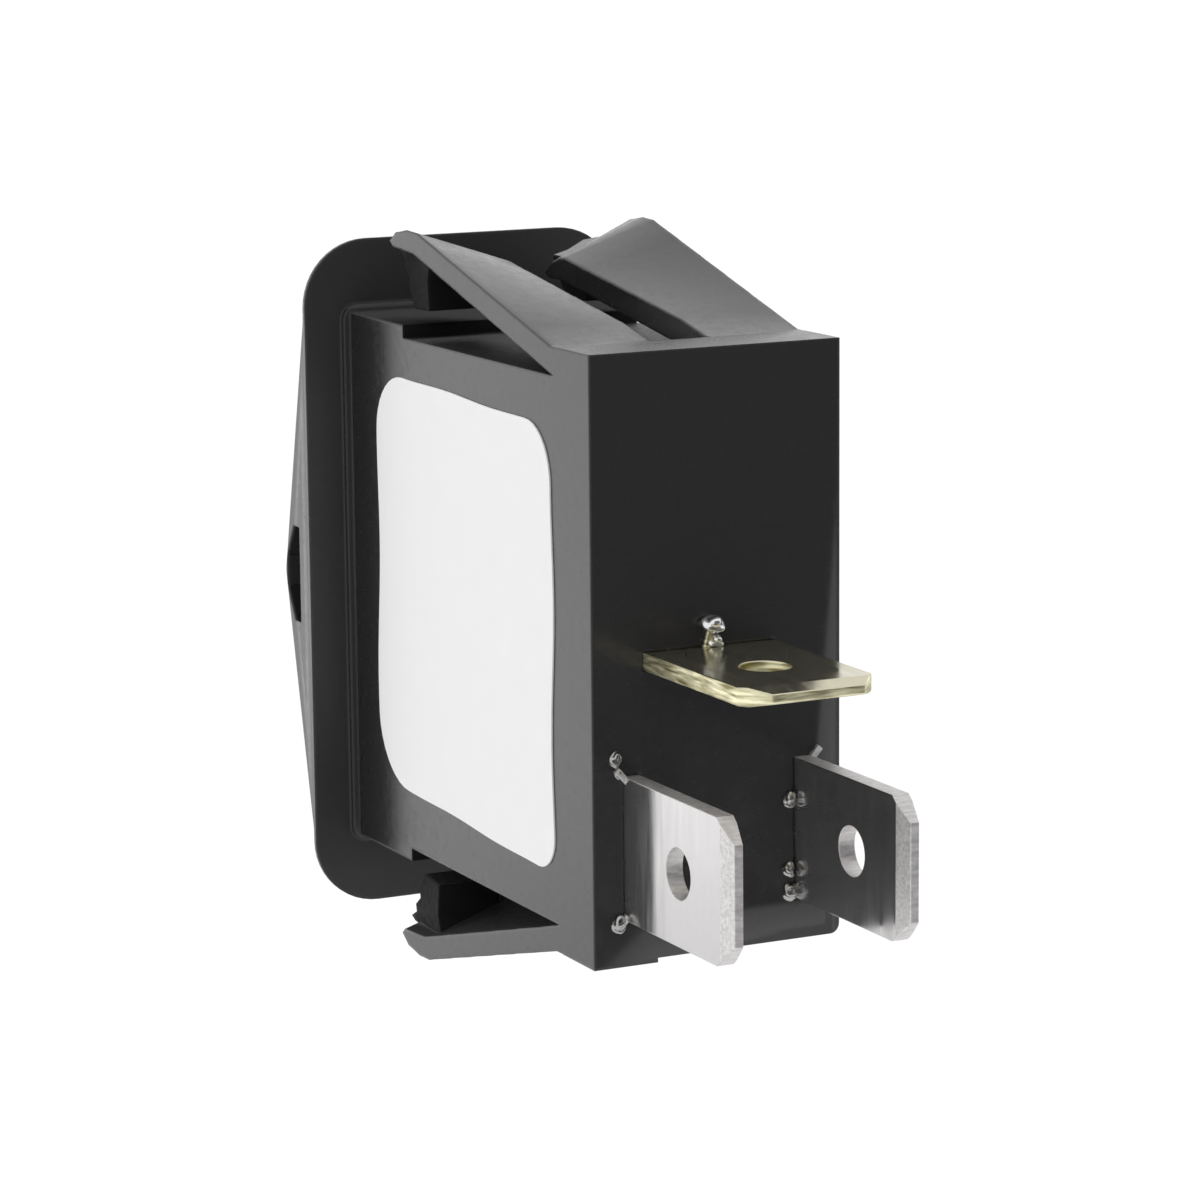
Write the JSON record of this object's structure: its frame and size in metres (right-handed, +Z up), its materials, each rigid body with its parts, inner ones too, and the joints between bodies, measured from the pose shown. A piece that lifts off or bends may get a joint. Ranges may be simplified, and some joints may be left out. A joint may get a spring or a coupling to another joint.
{
  "type": "panel rocker switch",
  "caption": "Snap-in panel rocker switch: arched bezel, deep case with sprung wings, tilting rocker with a lens, and push-on blade terminals.",
  "frame": {"origin": "middle of the bezel's back face, which seats on the front of the panel", "axes": "+Y through the panel towards the terminals, +Z up the tall side of the bezel, +X towards the side with the label"},
  "size_m": [0.0164, 0.0401, 0.034],
  "materials": {
    "black_nylon": "satin moulded",
    "rocker_black": "gloss moulded",
    "label_white": "matt film",
    "lens_red": "clear red",
    "ivory_plastic": "matt moulded",
    "spring_steel": "drawn wire",
    "copper": "rolled strip",
    "contact_silver": "polished",
    "tin_plate": "bright tin",
    "brass": "rolled strip",
    "lamp_glass": "clear",
    "resistor_body": "lacquered"
  },
  "bodies": {
    "case": {"housing": "black_nylon", "label": "label_white", "fulcrum_block": "ivory_plastic", "terminal_line": "tin_plate", "terminal_load": "tin_plate", "terminal_lamp": "brass", "fixed_contact_line": "contact_silver", "fixed_contact_load": "contact_silver", "lamp_holder": "ivory_plastic", "lamp_bulb": "lamp_glass", "resistor": "resistor_body", "lamp_lead_earth": "tin_plate", "lamp_lead_load": "tin_plate"},
    "rocker": {"rocker": "rocker_black", "lens": "lens_red", "plunger_spring": "spring_steel"},
    "plunger": {"plunger": "ivory_plastic"},
    "lever": {"contact_lever": "copper", "moving_contact_line": "contact_silver", "moving_contact_load": "contact_silver"}
  },
  "joints": [
    {"name": "rocker_tilt", "type": "hinge", "parent": "case", "child": "rocker", "pos_m": [0, 0.0016, 0], "axis": [-1, 0, 0], "range_deg": [0, 17]},
    {"name": "plunger_slide", "type": "slide", "parent": "rocker", "child": "plunger", "axis": [0, -0.989, -0.1478], "range_m": [0, 0.0006], "stiffness_N_per_m": 800, "springref_m": -0.0012, "deforming": ["plunger_spring"]},
    {"name": "lever_tilt", "type": "hinge", "parent": "case", "child": "lever", "pos_m": [0, 0.0203, 0], "axis": [1, 0, 0], "range_deg": [0, 17]}
  ],
  "couplings": [
    {"joint": "lever_tilt", "follows": "rocker_tilt", "ratio": 1}
  ]
}
